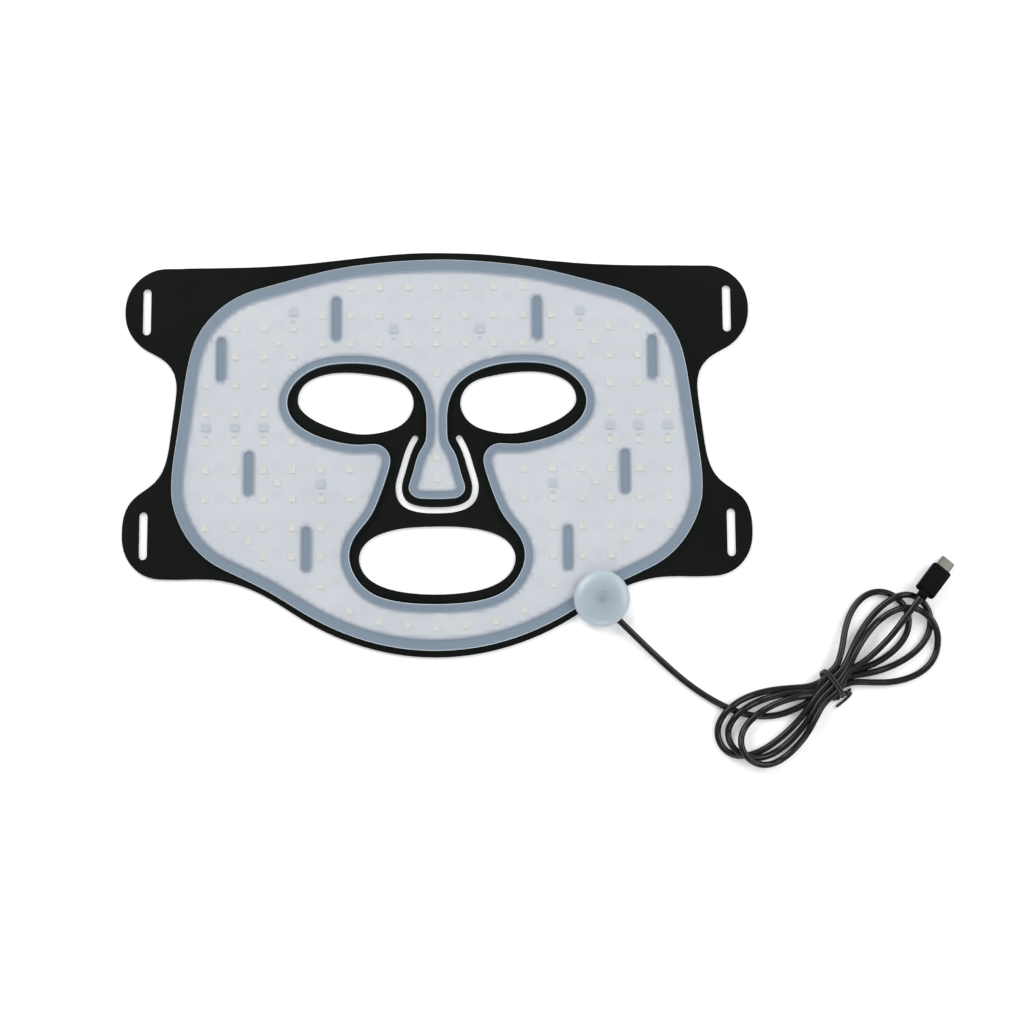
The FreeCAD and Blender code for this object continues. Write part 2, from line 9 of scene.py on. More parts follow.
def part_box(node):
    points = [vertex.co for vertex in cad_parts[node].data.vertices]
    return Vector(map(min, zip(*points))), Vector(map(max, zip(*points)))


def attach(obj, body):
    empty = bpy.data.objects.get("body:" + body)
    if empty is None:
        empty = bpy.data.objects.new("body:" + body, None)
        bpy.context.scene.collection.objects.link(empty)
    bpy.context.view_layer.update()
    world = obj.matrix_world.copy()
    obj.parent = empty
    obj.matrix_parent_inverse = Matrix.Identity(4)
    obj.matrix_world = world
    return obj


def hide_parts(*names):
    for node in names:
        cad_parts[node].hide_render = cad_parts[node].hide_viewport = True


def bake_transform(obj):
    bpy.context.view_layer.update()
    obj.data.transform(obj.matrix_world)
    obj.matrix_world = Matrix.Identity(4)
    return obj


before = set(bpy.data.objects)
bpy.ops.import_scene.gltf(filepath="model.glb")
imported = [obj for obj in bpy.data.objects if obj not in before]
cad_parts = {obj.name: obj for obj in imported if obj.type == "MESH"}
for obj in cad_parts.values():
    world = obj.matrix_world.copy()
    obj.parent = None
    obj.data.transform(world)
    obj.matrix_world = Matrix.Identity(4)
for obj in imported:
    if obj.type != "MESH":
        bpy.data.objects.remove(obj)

# Looks of the flexible LED face mask. Sizes below are in millimetres unless a name says otherwise,
# and MM turns them into Blender's metres.
MM = 0.001

for name in ("Cube", "Camera", "Light"):
    if name in bpy.data.objects:
        bpy.data.objects.remove(bpy.data.objects[name])
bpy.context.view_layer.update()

# ---- camera and studio ----
CAMERA_AT = (41.3, -155.1, 991.7)
CAMERA_AIM = (41.3, -33.3, 0.0)
CAMERA_LENS = 63.6
CAMERA_SENSOR = 36
CAMERA_ROLL = math.radians(-0.39)
SKY = (0.95, 0.97, 1.0)
SKY_STRENGTH = 0.42
FLOOR_SIZE = 6000.0
FLOOR_GLOW = 0.2             # keeps the table white under the soft shadows
FLOOR_DROP = 0.15            # keeps the floor clear of the sheet's flat back
# Square area lights that face the origin. Place and size are in metres, power in watts.
LIGHTS = (
    ("key", (-1.1, 1.3, 1.5), 1.4, 34),
    ("fill", (1.5, 0.4, 1.4), 1.4, 22),
    ("front", (0.1, -1.9, 1.3), 1.2, 14))

# ---- the cord ----
CORD_D = 3.6
CORD_R = CORD_D / 2
NEST = 0.97 * CORD_D         # how near the middles of two touching strands come
CLEAR = 3 * CORD_D           # strands nearer than this along the cord don't rest on each other
EXIT = (99.9, -94.3, 4.5)
TIE = (214.3, -129.0)
HANK_ANGLE = math.radians(34.0)
LEAD = [
    EXIT, (107.2, -101.6, 4.5), (119, -113, 2.4), (133.5, -126.3, 1.8), (146, -135.4, 1.8),
    (158.5, -142.2, 1.8), (171, -146.3, 1.8), (184, -146.4, 1.8), (195, -142.6, 1.8),
    (203, -138.2, 3.0)]
NECK = (263.4, -82.7, 8.8)
TAIL = [(223.2, -121.9, 6.9), (231, -118.2, 6.0), (239, -111.7, 6.0), (247.3, -103.4, 6.6),
        (255.6, -92.6, 8.0), NECK]
# One row for each turn: the reach, fan angle in degrees, width and lean of its right lobe and of
# its left lobe. The first turn lies lowest.
TURNS = (
    ((59.9, 15.3, 32.3, 1.5), (68.8, -8.5, 29.4, -2.3)),
    ((68.0, 1.6, 30.9, 4.2), (64.0, 0.5, 29.0, 3.0)),
    ((65.2, -8.0, 36.5, 3.5), (61.5, 7.0, 27.6, 1.5)))
TIE_PLACES = (5.6, 3.7, 1.9, 0.0, -1.9, -3.7, -5.6)   # where each pass lies across the tie
LOBE_POINTS = 20             # control points on each lobe
FINE = 6                     # samples between two control points when heights are settled
GATHER = 13.0                # how far from the tie the passes stay gathered
BUNDLE = 20.0                # half the stretch where the passes keep their own layer
LAYER_FADE = (10.0, 34.0)    # where the upper layer comes down beside the tie
LIFT = 1.4                   # the tie's wire under the bundle
SAG = 0.03                   # how fast a lifted strand comes down again, in mm per square mm
NEVER = -99                  # a height that never lifts anything

# ---- edges ----
CRISP = math.radians(48)     # edges that turn by more than this stay crisp


# ---- small helpers --------------------------------------------------------------------------
def metres(p):
    return Vector(p) * MM


def link(obj):
    bpy.context.scene.collection.objects.link(obj)
    return obj


def cad(node):
    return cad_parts[node]


def piece(name, bm, material):
    """A mesh piece from a bmesh, smooth, with its corners crisp and its flats kept flat."""
    mesh = bpy.data.meshes.new(name)
    for face in bm.faces:
        face.smooth = True
    for edge in bm.edges:
        edge.smooth = len(edge.link_faces) == 2 and edge.calc_face_angle() < CRISP
    bm.to_mesh(mesh)
    bm.free()
    obj = link(bpy.data.objects.new(name, mesh))
    mesh.materials.append(material)
    obj.modifiers.new("flats", "WEIGHTED_NORMAL").keep_sharp = True
    return obj


# ---- materials ------------------------------------------------------------------------------
UNEVEN = 0.06                # how far a plain surface's roughness strays to each side
TURNED = (0.80, 0.99)        # upward part of the normal, from a turned-down edge to a flat
OUTSIDE = (3.9 * MM, 4.1 * MM)     # heights over which the cover's outer edges start
UNDERSIDE = (2.1 * MM, 2.3 * MM)   # heights over which the cover's glued underside ends
FILM_ALPHA = 0.25            # the cover's film over the circuit
EDGE_ALPHA = 0.95            # its turned-down outer edges
UNDERSIDE_ALPHA = 0.62       # its glued underside
CAP_THIN_AT = (1.0, -1.0)    # the cap's clearest spot, from the middle of the pod
CAP_ALPHAS = (0.56, 0.93)    # the cap over its hollow middle and at its wall
CAP_FADE = (3.5 * MM, 14.5 * MM)   # distances from the clearest spot between which it grows dense
LED_PITCH = 16.0
LED_RIM = 0.1                # height of the package's paler rim
WAVE_LENGTH = 2 * math.pi / 20     # length of one wave of a wave texture at scale 1


class Look:
    """A material's node tree with short ways to add what the looks below share."""

    def __init__(self, name, colour, roughness, **sockets):
        self.material = bpy.data.materials.new(name)
        self.material.use_nodes = True
        self.nodes = self.material.node_tree.nodes
        self.links = self.material.node_tree.links
        self.shader = self.nodes["Principled BSDF"]
        self.shader.inputs["Base Color"].default_value = (*colour, 1)
        self.shader.inputs["Roughness"].default_value = roughness
        for key, value in sockets.items():
            self.shader.inputs[key.replace("_", " ")].default_value = value
        self.place = self.add("ShaderNodeTexCoord").outputs["Object"]

    def add(self, kind, **settings):
        node = self.nodes.new(kind)
        for key, value in settings.items():
            setattr(node, key, value)
        return node

    def link(self, source, target):
        self.links.new(source, target)

    def noise(self, scale, detail=3.0, stretch=None):
        """Noise with its scale in features for each metre; stretch slows it along some axes."""
        node = self.add("ShaderNodeTexNoise")
        node.inputs["Scale"].default_value = scale
        node.inputs["Detail"].default_value = detail
        place = self.place
        if stretch:
            mapping = self.add("ShaderNodeMapping")
            mapping.inputs["Scale"].default_value = stretch
            self.link(place, mapping.inputs["Vector"])
            place = mapping.outputs["Vector"]
        self.link(place, node.inputs["Vector"])
        return node.outputs["Fac"]

    def remap(self, value, low, high, start=0.0, end=1.0, smooth=False):
        node = self.add("ShaderNodeMapRange")
        if smooth:
            node.interpolation_type = "SMOOTHSTEP"
        limits = {"From Min": start, "From Max": end, "To Min": low, "To Max": high}
        for key, number in limits.items():
            node.inputs[key].default_value = number
        self.link(value, node.inputs["Value"])
        return node.outputs["Result"]

    def patches(self, scale, detail=3.0, start=0.3, end=0.7):
        """Soft patches between 0 and 1, from the part of a noise between start and end."""
        return self.remap(self.noise(scale, detail), 0.0, 1.0, start, end)

    def mix(self, factor, a, b):
        node = self.add("ShaderNodeMix", data_type="RGBA")
        self.link(factor, node.inputs["Factor"])
        for value, socket in ((a, node.inputs["A"]), (b, node.inputs["B"])):
            if isinstance(value, tuple):
                socket.default_value = (*value, 1)
            else:
                self.link(value, socket)
        return node.outputs["Result"]

    def math(self, operation, a, b):
        node = self.add("ShaderNodeMath", operation=operation)
        for i, value in enumerate((a, b)):
            if isinstance(value, (int, float)):
                node.inputs[i].default_value = value
            else:
                self.link(value, node.inputs[i])
        return node.outputs["Value"]

    def colour(self, value):
        self.link(value, self.shader.inputs["Base Color"])

    def gloss(self, scale, detail, low, high):
        """Uneven gloss: patches of roughness between low and high."""
        value = self.remap(self.noise(scale, detail), low, high, 0.3, 0.7)
        self.link(value, self.shader.inputs["Roughness"])

    def bump(self, height, strength, distance):
        """A relief of this distance in mm, weakened by the strength."""
        node = self.add("ShaderNodeBump")
        node.inputs["Strength"].default_value = strength
        node.inputs["Distance"].default_value = distance * MM
        self.link(height, node.inputs["Height"])
        self.link(node.outputs["Normal"], self.shader.inputs["Normal"])


def speckled(name, dark, light, roughness, grain, bump, metal=0.0, stretch=None, specular=0.5):
    """A plain moulded surface: faint cloudy colour, uneven gloss and a fine grain."""
    look = Look(name, light, roughness, Metallic=metal, Specular_IOR_Level=specular)
    look.colour(look.mix(look.patches(28, 4.0, 0.35, 0.65), dark, light))
    look.gloss(90, 3.0, roughness - UNEVEN, roughness + UNEVEN)
    look.bump(look.noise(grain, 2.0, stretch), bump, distance=0.05)
    return look.material


def black_silicone():
    """Matte moulded silicone: a fine pebble, a faint bloom and a little lint-like unevenness."""
    look = Look("black_silicone", (0.005, 0.006, 0.0055), 0.6, Specular_IOR_Level=0.06)
    bloom = look.patches(14, 5.0, 0.35, 0.7)
    look.colour(look.mix(bloom, (0.0038, 0.0047, 0.0043), (0.0065, 0.0076, 0.007)))
    look.gloss(60, 4.0, 0.54, 0.68)
    pebble = look.math("MULTIPLY", look.noise(1500, 2.0), 0.35)
    ripple = look.noise(35, 2.0)
    look.bump(look.math("ADD", pebble, ripple), strength=0.22, distance=0.12)
    return look.material


def milky_silicone(name, tones_with_highlight, specular):
    """Translucent silicone: it scatters a cool white, and its turned-down edges get a painted
    highlight.
    Comes with its colour, where its outer edges turn down, and the height above the table."""
    dark, light, edge = tones_with_highlight
    look = Look(name, light, 0.36, Specular_IOR_Level=specular)
    clouds = look.patches(22, 4.0)
    normal = look.add("ShaderNodeSeparateXYZ")
    look.link(look.nodes["Texture Coordinate"].outputs["Normal"], normal.inputs["Vector"])
    place = look.add("ShaderNodeSeparateXYZ")
    look.link(look.place, place.inputs["Vector"])
    # The normal is flipped where a face is seen from behind, so only its size counts.
    level = look.math("ABSOLUTE", normal.outputs["Z"], 0.0)
    turned = look.remap(level, 1.0, 0.0, *TURNED, True)
    outside = look.remap(place.outputs["Z"], 0.0, 1.0, *OUTSIDE)
    turned = look.math("MULTIPLY", turned, outside)
    # Painted highlight: the turned-down outer edges take the paler third tone.
    body = look.mix(turned, look.mix(clouds, dark, light), edge)
    look.gloss(75, 3.0, 0.32, 0.42)
    look.bump(look.noise(420, 2.0), strength=0.08, distance=0.05)
    return look, body, turned, place.outputs["Z"]


def milky_cover():
    """Thin and clear over the circuit. Its glued underside carries the bluish depth of the rims."""
    # The third tone is a painted highlight on the cover's turned-down edges.
    tones_with_highlight = ((0.54, 0.585, 0.64), (0.58, 0.62, 0.67), (0.63, 0.69, 0.73))
    look, body, turned, height = milky_silicone("milky_silicone", tones_with_highlight, 0.3)
    deep = look.remap(height, 1.0, 0.0, *UNDERSIDE)
    look.colour(look.mix(deep, body, (0.15, 0.27, 0.385)))
    film = look.remap(turned, FILM_ALPHA, EDGE_ALPHA)
    dense = look.math("MAXIMUM", film, look.remap(deep, 0.0, UNDERSIDE_ALPHA))
    look.link(dense, look.shader.inputs["Alpha"])
    return look.material


def milky_cap():
    """The push cap: dense at its wall, thinner over its hollow middle."""
    # The third tone is a painted highlight on the cap's turned-down sides.
    tones_with_highlight = ((0.38, 0.455, 0.505), (0.41, 0.485, 0.535), (0.47, 0.54, 0.59))
    look, body = milky_silicone("milky_cap", tones_with_highlight, 0.8)[:2]
    look.colour(body)
    low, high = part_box("pod_base")
    off_x, off_y = CAP_THIN_AT
    thinnest = ((low.x + high.x) / 2 + off_x * MM, (low.y + high.y) / 2 + off_y * MM, high.z)
    radius = look.add("ShaderNodeVectorMath", operation="DISTANCE")
    look.link(look.place, radius.inputs[0])
    radius.inputs[1].default_value = thinnest
    fade = look.remap(radius.outputs["Value"], *CAP_ALPHAS, *CAP_FADE)
    look.link(fade, look.shader.inputs["Alpha"])
    return look.material


def white_circuit():
    """White solder mask over faint copper pads and runs. Its edges carry the cover's bluish shade
    as painted shade, and "inside" grows from 0 at the edge to 1 where that painted shade ends."""
    look = Look("white_circuit", (0.80, 0.83, 0.84), 0.5)
    waves = []
    for axis in "XY":
        wave = look.add("ShaderNodeTexWave", bands_direction=axis, wave_profile="SIN")
        wave.inputs["Scale"].default_value = WAVE_LENGTH / (LED_PITCH * MM)
        look.link(look.place, wave.inputs["Vector"])
        waves.append(wave.outputs["Fac"])
    pads = look.remap(look.math("MULTIPLY", *waves), 0.0, 1.0, 0.3, 1.0, True)
    mottle = look.patches(40, start=0.35, end=0.65)
    plain = look.mix(mottle, (0.72, 0.725, 0.725), (0.76, 0.765, 0.765))
    plain = look.mix(look.math("MULTIPLY", pads, 0.5), plain, (0.66, 0.67, 0.685))
    inside = look.add("ShaderNodeAttribute", attribute_name="inside").outputs["Fac"]
    # Painted shade: dark blue at the circuit's edges, fading to the plain white by "inside".
    look.colour(look.mix(look.remap(inside, 0.0, 1.0, smooth=True), (0.03, 0.08, 0.16), plain))
    look.bump(look.noise(700), strength=0.1, distance=0.03)
    return look.material


def led_package():
    """Cream package, warmer below its rim, where the phosphor lies in its window."""
    look = Look("led_package", (0.88, 0.87, 0.80), 0.4)
    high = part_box("nose_leds")[1]
    axes = look.add("ShaderNodeSeparateXYZ")
    look.link(look.place, axes.inputs["Vector"])
    sunk = look.math("LESS_THAN", axes.outputs["Z"], high.z - LED_RIM * MM)
    body = look.mix(look.patches(300), (0.86, 0.84, 0.71), (0.89, 0.87, 0.75))
    look.colour(look.mix(sunk, body, (0.87, 0.81, 0.64)))
    return look.material


def cord_jacket():
    """Glossy PVC with slight unevenness from the extruder."""
    look = Look("cord_jacket", (0.0085, 0.0085, 0.009), 0.24, Specular_IOR_Level=0.3)
    clouds = look.patches(120, start=0.35, end=0.65)
    look.colour(look.mix(clouds, (0.005, 0.005, 0.0055), (0.0085, 0.0085, 0.009)))
    look.gloss(160, 3.0, 0.18, 0.3)
    look.bump(look.noise(900, 2.0), strength=0.12, distance=0.05)
    return look.material


# The speckled ones give the darker and lighter colour, roughness, grain in features for each
# metre, bump strength, then how metallic they are and how the grain is stretched.
MATERIALS = {
    "black_silicone": black_silicone(),
    "milky_silicone": milky_cover(),
    "milky_cap": milky_cap(),
    "white_circuit": white_circuit(),
    "led_package": led_package(),
    # chip_grey paints the black chips pale grey: painted light standing in for the cover's
    # scattered light over them.
    "chip_grey": speckled("chip_grey", (0.52, 0.55, 0.58), (0.58, 0.61, 0.64), 0.5, 1200, 0.3),
    "chip_black": speckled(
        "chip_black", (0.02, 0.021, 0.022), (0.035, 0.036, 0.037), 0.5, 1200, 0.3),
    "pod_circuit": speckled("pod_circuit", (0.16, 0.19, 0.21), (0.20, 0.23, 0.25), 0.5, 1200, 0.2),
    "white_plastic": speckled(
        "white_plastic", (0.62, 0.68, 0.72), (0.7, 0.75, 0.78), 0.42, 900, 0.15),
    "cord_black": cord_jacket(),
    "tie_black": speckled(
        "tie_black", (0.008, 0.008, 0.008), (0.014, 0.014, 0.014), 0.42, 1500, 0.4),
    "plug_black": speckled(
        "plug_black", (0.004, 0.0045, 0.0045), (0.006, 0.0065, 0.0065), 0.6, 1400, 0.35,
        specular=0.03),
    "plug_metal": speckled(
        "plug_metal", (0.19, 0.18, 0.16), (0.24, 0.23, 0.20), 0.55, 900, 0.2, 1.0, (1, 1, 6)),
    "core_copper": speckled(
        "core_copper", (0.70, 0.50, 0.22), (0.80, 0.60, 0.30), 0.3, 900, 0.15, 1.0),
}


# ---- the cord's route -----------------------------------------------------------------------
def lobe_point(side, reach, fan, width, lean, u):
    """A point (along, across) of one teardrop lobe, u from 0 at the tie to pi back at the tie."""
    along = side * reach * math.sin(u)
    across = width / 2 * math.sin(2 * u) + lean * math.sin(u) ** 2
    turn = math.radians(fan)
    return (along * math.cos(turn) - across * math.sin(turn),
            along * math.sin(turn) + across * math.cos(turn))


def on_hank(along, across):
    return (TIE[0] + along * math.cos(HANK_ANGLE) - across * math.sin(HANK_ANGLE),
            TIE[1] + along * math.sin(HANK_ANGLE) + across * math.cos(HANK_ANGLE))


def coil_line():
    """Fine samples of the three figure-eight turns as rows of x, y, along and the layer's base."""
    rows = []
    crossing = 0
    for lobes in TURNS:
        for side, lobe in zip((1, -1), lobes):
            for i in range(LOBE_POINTS * FINE):
                u = math.pi * i / (LOBE_POINTS * FINE)
                along, across = lobe_point(side, *lobe, u)
                crossed = crossing if u < math.pi / 2 else crossing + 1
                gathered = math.exp(-(along / GATHER) ** 2)
                across = across * (1 - gathered) + TIE_PLACES[crossed] * gathered
                rows.append((*on_hank(along, across), along, layer_base(along, crossed)))
            crossing += 1
    rows.append((*on_hank(0, TIE_PLACES[-1]), 0.0, layer_base(0.0, crossing)))
    return np.array(rows)


def layer_base(along, crossed):
    """Passes one way lie on the tie's wire, and passes the other way lie on top of them."""
    near, far = LAYER_FADE
    t = min(1.0, max(0.0, (far - abs(along)) / (far - near)))
    share = t * t * (3 - 2 * t)
    return CORD_R + share * (LIFT + (NEST if crossed % 2 == 0 else 0.0))


def settled(rows, under):
    """The height of each coil sample: every strand rests on the ones laid before it."""
    plan = np.vstack([under[:, :2], rows[:, :2]])
    step = np.linalg.norm(np.diff(plan, axis=0), axis=1)
    at = np.concatenate([[0], np.cumsum(step)])
    base = np.concatenate([under[:, 2], rows[:, 3]])
    bundled = np.concatenate([np.zeros(len(under), bool), np.abs(rows[:, 2]) < BUNDLE])
    apart = ((plan[:, None] - plan[None]) ** 2).sum(2)
    reach = NEST ** 2
    later = (at[:, None] > at[None] + CLEAR) & ~(bundled[:, None] & bundled[None])
    lift = np.where((apart < reach) & later, np.sqrt(np.maximum(reach - apart, 0)), NEVER)
    drop = SAG * (at[:, None] - at[None]) ** 2
    height = base.copy()
    for _ in range(len(TIE_PLACES)):
        lifted = np.maximum(base, (height[None] + lift).max(1))
        height = (lifted[None] - drop).max(1)
    return height[len(under):]


def cord_route():
    """Control points from the gland through the lead, the hank and the tail to the plug's neck."""
    lead = np.array(LEAD, float)
    fine = np.linspace(0, len(lead) - 1, FINE * (len(lead) - 1) + 1)[:-1]
    under = np.stack([np.interp(fine, range(len(lead)), lead[:, k]) for k in range(3)], axis=1)
    rows = coil_line()
    heights = settled(rows, under)
    coil = [(rows[i, 0], rows[i, 1], heights[i]) for i in range(0, len(rows), FINE)]
    return LEAD + coil + TAIL


def tube(name, lines, diameter, material):
    """A round curve through NURBS control points, one spline for each line."""
    curve = bpy.data.curves.new(name, "CURVE")
    curve.dimensions = "3D"
    curve.bevel_depth = diameter / 2 * MM
    curve.bevel_resolution = 5
    curve.resolution_u = 6
    curve.use_fill_caps = True
    for points in lines:
        spline = curve.splines.new("NURBS")
        spline.points.add(len(points) - 1)
        for point, place in zip(spline.points, points):
            point.co = (*metres(place), 1)
        spline.order_u = 3
        spline.use_endpoint_u = True
    curve.materials.append(material)
    return link(bpy.data.objects.new(name, curve))


# ---- the tie --------------------------------------------------------------------------------
TIE_WIRE = 1.5
TIE_WRAPS = 2
TIE_STEPS = 16               # points on each wrap
TIE_START = -0.5 * math.pi - 0.35 * math.pi
TIE_HALF_W = 8.3
TIE_TOP = 9.5
TIE_SQUARE = (0.7, 0.8)      # powers under 1 square the wraps off, across and in height
TIE_SPREAD = 3.2             # how far the wraps advance along the bundle
TIE_LEAN = 0.9               # how far a wrap leans along the bundle at its top
TWIST_POINTS = 19
TWIST_STEP = 0.55
TWIST_PITCH = 5.2
TWIST_R = 0.85
TWIST_OPENS = 2              # how far the two ends take to part to their full radius
TWIST_FROM = (-4.0, -7.9)    # along and across the bundle
TWIST_RUN = (0.99, -0.12)
TWIST_Z = 2.0
# Where each end goes after the twist: along and across the bundle, and height.
SPLAYED = (((7.5, -8.6, 1.5),), ((6.6, -10.6, 1.2), (2.0, -11.7, 0.8), (-4.5, -12.0, 0.8)))


def squared(value, power):
    """The sine or cosine of a rounded square."""
    return math.copysign(abs(value) ** power, value)


def tie_lines():
    """The wire's wraps round the bundle, then its two ends twisted together and splayed."""
    wraps = []
    low = TIE_WIRE / 2
    middle = (TIE_TOP + low) / 2
    points = TIE_WRAPS * TIE_STEPS
    for i in range(points + 1):
        a = TIE_START + 2 * math.pi * i / TIE_STEPS
        across = TIE_HALF_W * squared(math.cos(a), TIE_SQUARE[0])
        z = middle + (TIE_TOP - low) / 2 * squared(math.sin(a), TIE_SQUARE[1])
        along = -TIE_SPREAD / 2 + TIE_SPREAD * i / points + TIE_LEAN * math.sin(a)
        wraps.append((*on_hank(along, across), z))
    lines = [wraps]
    for side, splayed in enumerate(SPLAYED):
        line = []
        for i in range(TWIST_POINTS):
            s = TWIST_STEP * i
            turn = math.pi * side + 2 * math.pi * s / TWIST_PITCH
            wide = TWIST_R * min(1.0, s / TWIST_OPENS)
            along = TWIST_FROM[0] + TWIST_RUN[0] * s
            across = TWIST_FROM[1] + TWIST_RUN[1] * s + wide * math.cos(turn)
            line.append((*on_hank(along, across), TWIST_Z + wide * math.sin(turn)))
        line += [(*on_hank(along, across), z) for along, across, z in splayed]
        lines.append(line)
    return lines


# ---- soft edges on CAD shapes ---------------------------------------------------------------
WELD = 0.002
CUT_WELD = 0.0001            # a cut this near a vertex goes through it
FLAT = math.radians(0.5)     # faces that turn by less than this are one flat
PLUG_SOFT = 0.5


def cut(bm, at, normal, near=CUT_WELD * MM):
    """Cuts every face on a plane and returns what the cut made."""
    return bmesh.ops.bisect_plane(
        bm, geom=bm.verts[:] + bm.edges[:] + bm.faces[:], dist=near,
        plane_co=at, plane_no=normal)["geom_cut"]


def surface(node, cut_x=(), cut_y=()):
    """A welded copy of a CAD node's surface, with each flat made whole. A flat with a hole in it
    can't be one face, so the cuts, at these places in X and Y, go through its holes."""
    bm = bmesh.new()
    bm.from_mesh(cad(node).data)
    bmesh.ops.remove_doubles(bm, verts=bm.verts, dist=WELD * MM)
    for normal, places in (((1, 0, 0), cut_x), ((0, 1, 0), cut_y)):
        for place in places:
            for made in cut(bm, Vector(normal) * (place * MM), normal):
                if isinstance(made, bmesh.types.BMEdge):
                    made.seam = True
    bmesh.ops.dissolve_limit(
        bm, angle_limit=FLAT, verts=bm.verts, edges=bm.edges,
        use_dissolve_boundaries=False, delimit={"SEAM"})
    return bm


def soften(bm, width, wanted=lambda edge: True, sharp=50):
    """Rounds the outer edges that turn by more than the angle sharp."""
    edges = [
        e for e in bm.edges
        if len(e.link_faces) == 2 and e.is_convex
        and e.calc_face_angle() > math.radians(sharp) and wanted(e)]
    bmesh.ops.bevel(
        bm, geom=edges, offset=width * MM, offset_type="OFFSET", segments=3, profile=0.5,
        affect="EDGES", clamp_overlap=False)
    return bm


def softened(node, width, material, body, sharp):
    """A CAD node's shape with soft edges, standing in for it."""
    obj = piece(node + "_soft", soften(surface(node), width, sharp=sharp), material)
    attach(obj, body)
    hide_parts(node)
    return obj


# ---- the back sheet and its tabs ------------------------------------------------------------
TABS = ("upper_left_tab", "upper_right_tab", "lower_left_tab", "lower_right_tab")
FLEX_LINES = {
    "upper_left": ((-128.0, 107.0), (-147.0, 41.0)),
    "lower_left": ((-157.0, -12.0), (-131.0, -72.0))}
FLEX_GAP = 0.25              # between the CAD's sheet and tabs; the pieces here close it
GAP_SLACK = 0.1
SEAM_SLACK = 0.05            # how near a flex line's plane an edge counts as lying on it
SHEET_SOFT = 0.35
BEND = 16.0                  # how much of a tab curves when it flexes
BEND_STEP = 1.0
EYE_Y = 28.0                 # through both eyes
SLOT_YS = (80.5, -45.5)      # through the strap slots
POST_YS = (75.6, 53.0, -11.2, -53.4)
NOSE_SLIT = ((-24.0, -35.0), (24.0, 12.0))   # a box round the slit, whose edges stay square
SLIT_TOP = 2.4               # above the slit's edges and below the bead's


def flex_plane(tab):
    """The middle of a tab's flex line and the direction away from the mask."""
    mirror = -1 if "right" in tab else 1
    (x0, y0), (x1, y1) = FLEX_LINES[tab.replace("right", "left").replace("_tab", "")]
    middle = Vector(((x0 + x1) / 2 * mirror, (y0 + y1) / 2, 0)) * MM
    along = Vector(((x1 - x0) * mirror, y1 - y0, 0)).normalized()
    away = Vector((along.y, -along.x, 0))
    if away.x * middle.x < 0:
        away = -away
    return middle, away


def on_seam(edge, planes):
    """Whether an edge lies on one of the planes where tabs meet the sheet."""
    return any(
        all(abs((v.co - middle).dot(away)) < SEAM_SLACK * MM for v in edge.verts)
        for middle, away in planes)


def in_slit(edge):
    """Whether an edge belongs to the nose slit, which lies below the bead's top."""
    (x0, y0), (x1, y1) = NOSE_SLIT
    return all(
        x0 < v.co.x / MM < x1 and y0 < v.co.y / MM < y1 and v.co.z / MM < SLIT_TOP
        for v in edge.verts)


def back_sheet():
    planes = [flex_plane(tab) for tab in TABS]
    bm = soften(
        surface("back_sheet", (0,), (EYE_Y,)), SHEET_SOFT,
        lambda e: not on_seam(e, planes) and not in_slit(e))
    obj = piece("sheet", bm, MATERIALS["black_silicone"])
    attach(obj, "mask")
    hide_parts("back_sheet")


def tab(name):
    """One tab, closed up to the sheet, cut in strips where it curves."""
    middle, away = flex_plane(name)
    bm = surface(name, cut_y=SLOT_YS)
    for v in bm.verts:
        off = (v.co - middle).dot(away) / MM
        if off < FLEX_GAP + GAP_SLACK:
            v.co -= away * (off * MM)
    soften(bm, SHEET_SOFT, lambda e: not on_seam(e, [(middle, away)]))
    for i in range(1, int(BEND / BEND_STEP) + 1):
        cut(bm, middle + away * (i * BEND_STEP * MM), away, near=0.0)
    obj = piece(name.replace("_tab", "_wing"), bm, MATERIALS["black_silicone"])
    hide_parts(name)
    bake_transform(obj)


# ---- the cover and the circuit under it -----------------------------------------------------
COVER_SOFT = 0.6
TOP_BAND = 0.1               # edges this near the cover's top are softened
GLUE_BAND = 0.02             # vertices this near the cover's underside are lifted off the sheet
GLUE_LIFT = 0.03


def cover():
    """The milky cover with soft top edges, a hair above the sheet it is glued to."""
    low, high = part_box("front_cover")
    bm = soften(
        surface("front_cover", (0,), POST_YS), COVER_SOFT,
        lambda e: min(v.co.z for v in e.verts) > high.z - TOP_BAND * MM)
    for v in bm.verts:
        if v.co.z < low.z + GLUE_BAND * MM:
            v.co.z += GLUE_LIFT * MM
    obj = piece("cover", bm, MATERIALS["milky_silicone"])
    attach(obj, "mask")
    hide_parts("front_cover")


SHADE = 2.2                  # how far in from the circuit's edge its painted shade fades
SHADE_GRID = 2.5             # spacing of the cuts that carry the painted shade
RIM_BAND = 0.05              # edges this near the circuit's top can be its rim
BOARD_SPREAD = 0.28          # closes the clearance between the circuit and the cover's pocket


def is_side(face):
    return abs(face.normal.z) < 0.5


def spread(bm, distance):
    """Moves a board's upright sides outwards."""
    sides = {}
    for face in bm.faces:
        if is_side(face):
            for vert in face.verts:
                sides[vert] = sides.get(vert, Vector()) + face.normal
    for vert, normal in sides.items():
        vert.co += normal.normalized() * (distance * MM)


def shade(bm, top):
    """Gives each vertex the share of the way through the painted shade that it lies in from the
    rim.
    """
    inside = bm.verts.layers.float.new("inside")
    on_side = {v for face in bm.faces if is_side(face) for v in face.verts}
    rim = [
        e for e in bm.edges if all(v.co.z > top - RIM_BAND * MM for v in e.verts)
        and any(is_side(face) for face in e.link_faces)]
    ends = np.array([[v.co[:2] for v in e.verts] for e in rim]) / MM
    along = ends[:, 1] - ends[:, 0]
    for vert in bm.verts:
        if vert not in on_side:
            to = np.array(vert.co[:2]) / MM - ends[:, 0]
            share = np.clip((to * along).sum(1) / (along ** 2).sum(1), 0, 1)
            away = np.linalg.norm(to - along * share[:, None], axis=1).min()
            vert[inside] = min(1.0, float(away) / SHADE)


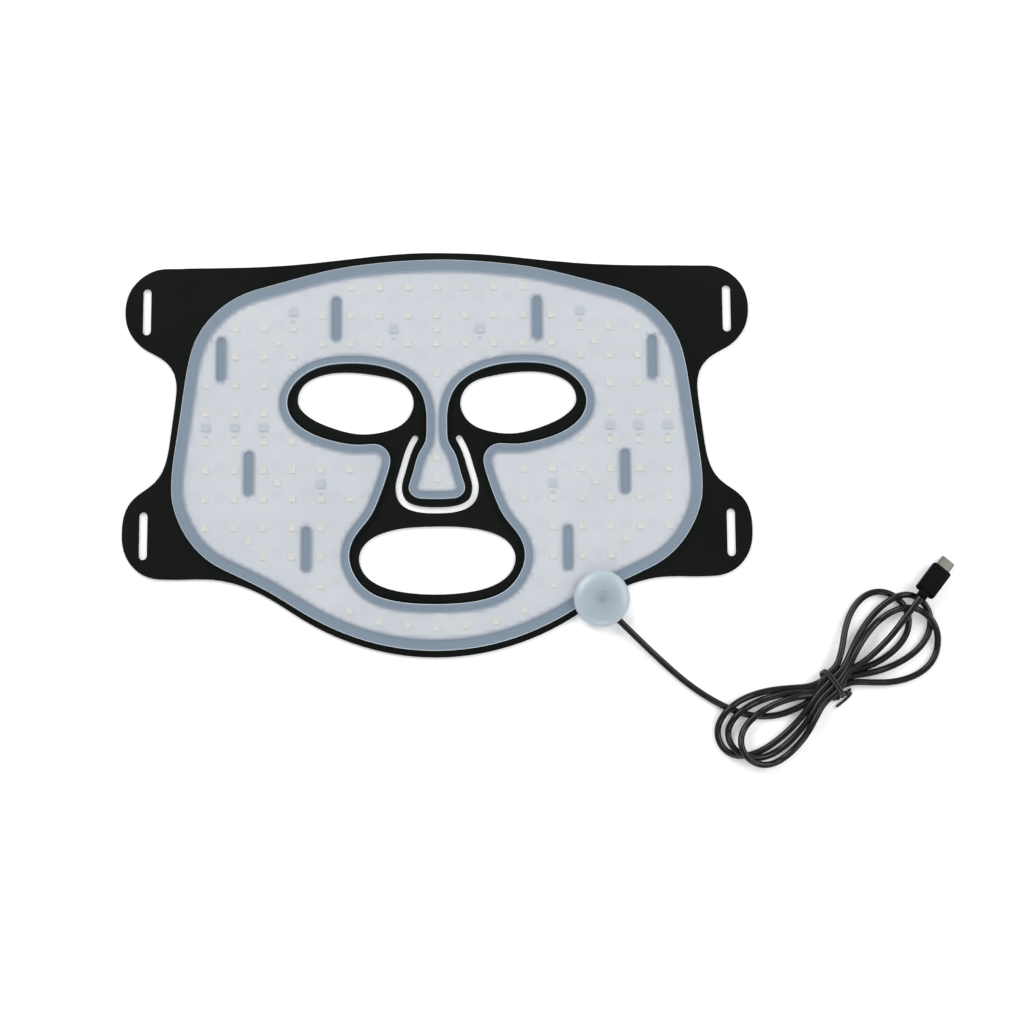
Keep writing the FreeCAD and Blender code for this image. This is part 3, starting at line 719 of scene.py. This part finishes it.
def circuit():
    """The white circuit, cut in a grid whose vertices carry how far in from its edge they lie."""
    low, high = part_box("flex_board")
    bm = surface("flex_board", (0,), POST_YS)
    spread(bm, BOARD_SPREAD)
    for axis in (0, 1):
        normal = Vector((1 - axis, axis, 0))
        for place in np.arange(low[axis] / MM + SHADE_GRID / 2, high[axis] / MM, SHADE_GRID):
            cut(bm, normal * (float(place) * MM), normal)
    shade(bm, high.z)
    obj = piece("circuit", bm, MATERIALS["white_circuit"])
    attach(obj, "mask")
    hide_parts("flex_board")


# ---- building it ----------------------------------------------------------------------------
# Driver chips and resistors take chip_grey, whose paleness is painted light from the cover over
# black parts.
OWN_LOOKS = {
    "button_cap": "milky_cap", "driver_chips": "chip_grey", "resistors": "chip_grey",
    "pod_board": "pod_circuit"}


def dress_cad_nodes():
    """Gives every CAD node that stays its procedural material."""
    for node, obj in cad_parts.items():
        slot_name = obj.data.materials[0].name.split(".")[0]
        look = MATERIALS[OWN_LOOKS.get(node, slot_name)]
        for i in range(len(obj.material_slots)):
            obj.material_slots[i].material = look


def cords():
    """The lead, the tie round its hank and the plug's soft overmould, tied together as a cord."""
    lead = tube("usb_lead", [cord_route()], CORD_D, MATERIALS["cord_black"])
    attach(lead, "mask")
    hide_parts("cable_lead", "cable_hank", "cable_tail")
    tie = tube("wire_tie", tie_lines(), TIE_WIRE, MATERIALS["tie_black"])
    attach(tie, "mask")
    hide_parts("twist_tie")
    overmould = softened(
        "plug_overmould", PLUG_SOFT, MATERIALS["plug_black"], "mask", sharp=35)


def studio():
    scene = bpy.context.scene
    scene.view_settings.view_transform = "Standard"
    floor_look = Look(
        "floor", (0.9, 0.9, 0.9), 0.7, Specular_IOR_Level=0.2, Emission_Color=(1, 1, 1, 1),
        Emission_Strength=FLOOR_GLOW)
    floor_look.colour(floor_look.mix(
        floor_look.patches(3), (0.895, 0.895, 0.895), (0.915, 0.915, 0.915)))
    bm = bmesh.new()
    bmesh.ops.create_grid(bm, x_segments=1, y_segments=1, size=FLOOR_SIZE / 2 * MM)
    floor = piece("floor", bm, floor_look.material)
    floor.location.z = -FLOOR_DROP * MM
    world = bpy.data.worlds.new("studio")
    scene.world = world
    world.use_nodes = True
    background = world.node_tree.nodes["Background"]
    background.inputs["Color"].default_value = (*SKY, 1)
    background.inputs["Strength"].default_value = SKY_STRENGTH
    for name, at, size, watts in LIGHTS:
        light = bpy.data.lights.new(name, "AREA")
        light.shape = "SQUARE"
        light.size = size
        light.energy = watts
        lamp = link(bpy.data.objects.new(name, light))
        lamp.location = at
        lamp.rotation_euler = (-Vector(at)).to_track_quat("-Z", "Y").to_euler()


def camera():
    data = bpy.data.cameras.new("camera")
    data.lens = CAMERA_LENS
    data.sensor_width = CAMERA_SENSOR
    obj = link(bpy.data.objects.new("camera", data))
    look = (metres(CAMERA_AIM) - metres(CAMERA_AT)).to_track_quat("-Z", "Y")
    roll = Matrix.Rotation(CAMERA_ROLL, 3, "Z").to_quaternion()
    obj.location = metres(CAMERA_AT)
    obj.rotation_euler = (look @ roll).to_euler()
    bpy.context.scene.camera = obj


camera()
dress_cad_nodes()
cords()
back_sheet()
for tab_name in TABS:
    tab(tab_name)
circuit()
cover()
studio()
